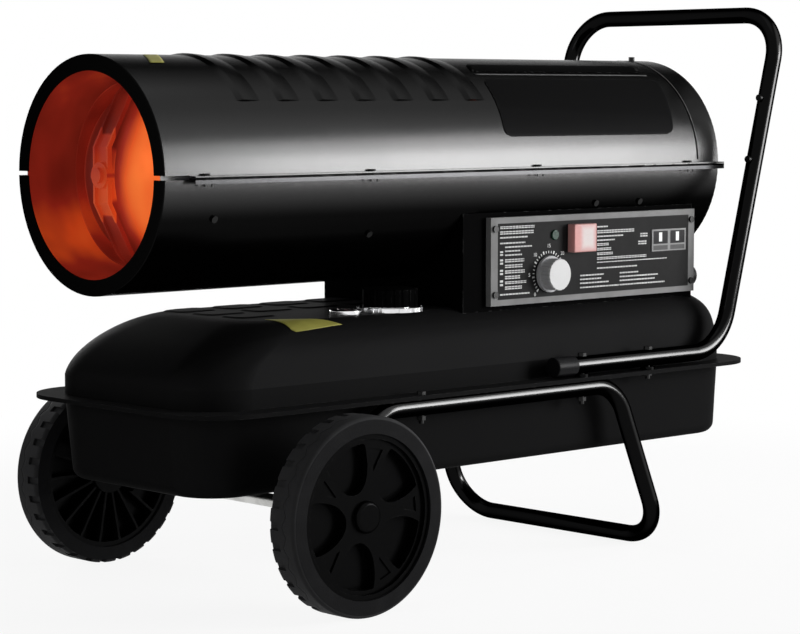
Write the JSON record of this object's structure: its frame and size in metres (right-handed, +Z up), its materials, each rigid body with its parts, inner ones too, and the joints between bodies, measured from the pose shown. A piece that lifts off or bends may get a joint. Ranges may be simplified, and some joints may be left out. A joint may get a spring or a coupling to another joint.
{
  "type": "space heater",
  "caption": "Oil-fired forced-air space heater: a long barrel casing over a fuel tank, with a control panel, a bent tube handle, a tube stand and two wheels.",
  "frame": {"origin": "on the floor, under the middle of the overall box", "axes": "+Z up, +X towards the handle, -X the way the hot air leaves, -Y the side with the control panel"},
  "size_m": [1.03, 0.5248, 0.709],
  "materials": {
    "air_line": "hose",
    "axle": "zinc plated",
    "axle_collars": "zinc plated",
    "burner_head": "heat-tinted steel",
    "cable_gland": "matt black",
    "cap_seal": "hose",
    "casing_screws": "zinc plated",
    "chamber_brackets": "zinc plated",
    "combustion_chamber": "heat-tinted steel",
    "control_board": "circuit board green",
    "control_panel": "satin dark grey",
    "display_window": "smoked window",
    "drain_plug": "zinc plated",
    "fan": "as cast",
    "far_hub_cap": "matt black",
    "far_rim": "matt black",
    "far_tyre": "moulded rubber",
    "filler_cap": "matt black",
    "filler_collar": "polished",
    "filler_strainer": "mesh basket",
    "flame_baffle": "heat-tinted steel",
    "flame_sensor": "gloss",
    "frame_bolts": "zinc plated",
    "frame_nuts": "zinc plated",
    "fuel_line": "copper tube",
    "gauge_body": "polished",
    "gauge_float": "foam",
    "gauge_lens": "clear",
    "gauge_needle": "matt black",
    "handle": "satin black",
    "handle_end_caps": "matt black",
    "handle_spacers": "satin black",
    "heat_shield": "heat-tinted steel",
    "igniter": "glazed ceramic",
    "ignition_transformer": "cast resin",
    "lower_housing": "gloss black powder coat",
    "lower_shell": "gloss black powder coat",
    "motor_bracket": "satin black",
    "motor_case": "satin black",
    "motor_shaft": "zinc plated",
    "near_hub_cap": "matt black",
    "near_rim": "matt black",
    "near_tyre": "moulded rubber",
    "power_rocker": "gloss red",
    "pump_body": "as cast",
    "pump_cover": "as cast",
    "pump_rotor": "as cast",
    "rear_guard": "satin black",
    "rocker_cover": "clear",
    "seam_clips": "zinc plated",
    "spray_nozzle": "plain",
    "stand": "satin black",
    "status_lamp": "dark green lens",
    "switch_body": "matt black",
    "tank_lower": "gloss black powder coat",
    "tank_upper": "gloss black powder coat",
    "thermostat_body": "matt black",
    "thermostat_knob": "gloss",
    "upper_shell": "gloss black powder coat"
  },
  "bodies": {
    "heater": {"air_line": "air_line", "axle": "axle", "axle_collars": "axle_collars", "burner_head": "burner_head", "cable_gland": "cable_gland", "casing_screws": "casing_screws", "chamber_brackets": "chamber_brackets", "combustion_chamber": "combustion_chamber", "control_board": "control_board", "control_panel": "control_panel", "display_window": "display_window", "drain_plug": "drain_plug", "filler_collar": "filler_collar", "filler_strainer": "filler_strainer", "flame_baffle": "flame_baffle", "flame_sensor": "flame_sensor", "frame_bolts": "frame_bolts", "frame_nuts": "frame_nuts", "fuel_line": "fuel_line", "gauge_body": "gauge_body", "gauge_lens": "gauge_lens", "handle": "handle", "handle_end_caps": "handle_end_caps", "handle_spacers": "handle_spacers", "heat_shield": "heat_shield", "igniter": "igniter", "ignition_transformer": "ignition_transformer", "lower_housing": "lower_housing", "lower_shell": "lower_shell", "motor_bracket": "motor_bracket", "motor_case": "motor_case", "pump_body": "pump_body", "pump_cover": "pump_cover", "rear_guard": "rear_guard", "rocker_cover": "rocker_cover", "seam_clips": "seam_clips", "spray_nozzle": "spray_nozzle", "stand": "stand", "status_lamp": "status_lamp", "switch_body": "switch_body", "tank_lower": "tank_lower", "tank_upper": "tank_upper", "thermostat_body": "thermostat_body", "upper_shell": "upper_shell"},
    "near_wheel": {"near_tyre": "near_tyre", "near_rim": "near_rim", "near_hub_cap": "near_hub_cap"},
    "far_wheel": {"far_tyre": "far_tyre", "far_rim": "far_rim", "far_hub_cap": "far_hub_cap"},
    "fan_rotor": {"motor_shaft": "motor_shaft", "fan": "fan", "pump_rotor": "pump_rotor"},
    "thermostat_dial": {"thermostat_knob": "thermostat_knob"},
    "power_paddle": {"power_rocker": "power_rocker"},
    "cap_carrier": {"cap_seal": "cap_seal"},
    "screw_cap": {"filler_cap": "filler_cap"},
    "level_float": {"gauge_float": "gauge_float"},
    "level_needle": {"gauge_needle": "gauge_needle"}
  },
  "joints": [
    {"name": "near_wheel_turn", "type": "hinge", "parent": "heater", "child": "near_wheel", "pos_m": [-0.323, -0.24145, 0.1152], "axis": [0, 1, 0], "continuous": true},
    {"name": "far_wheel_turn", "type": "hinge", "parent": "heater", "child": "far_wheel", "pos_m": [-0.323, 0.24145, 0.1152], "axis": [0, 1, 0], "continuous": true},
    {"name": "fan_turn", "type": "hinge", "parent": "heater", "child": "fan_rotor", "pos_m": [0.185, 0, 0.4985], "axis": [1, 0, 0], "continuous": true},
    {"name": "thermostat_turn", "type": "hinge", "parent": "heater", "child": "thermostat_dial", "pos_m": [0.101, -0.137, 0.364], "axis": [0, 1, 0], "range_deg": [0, 270]},
    {"name": "power_press", "type": "hinge", "parent": "heater", "child": "power_paddle", "pos_m": [0.156, -0.1335, 0.408], "axis": [-1, 0, 0], "range_deg": [0, 15]},
    {"name": "cap_lift", "type": "slide", "parent": "heater", "child": "cap_carrier", "axis": [0, 0, 1], "range_m": [0, 0.006]},
    {"name": "cap_turn", "type": "hinge", "parent": "cap_carrier", "child": "screw_cap", "pos_m": [-0.125, -0.084, 0.345], "axis": [0, 0, 1], "range_deg": [0, 720]},
    {"name": "float_swing", "type": "hinge", "parent": "heater", "child": "level_float", "pos_m": [-0.198, -0.084, 0.297], "axis": [0, 1, 0], "range_deg": [0, 50]},
    {"name": "needle_turn", "type": "hinge", "parent": "heater", "child": "level_needle", "pos_m": [-0.198, -0.084, 0.3245], "axis": [0, 0, 1], "range_deg": [0, 100]}
  ],
  "couplings": [
    {"joint": "cap_lift", "follows": "cap_turn", "m_per_rad": 0.00047746},
    {"joint": "needle_turn", "follows": "float_swing", "ratio": 2}
  ]
}
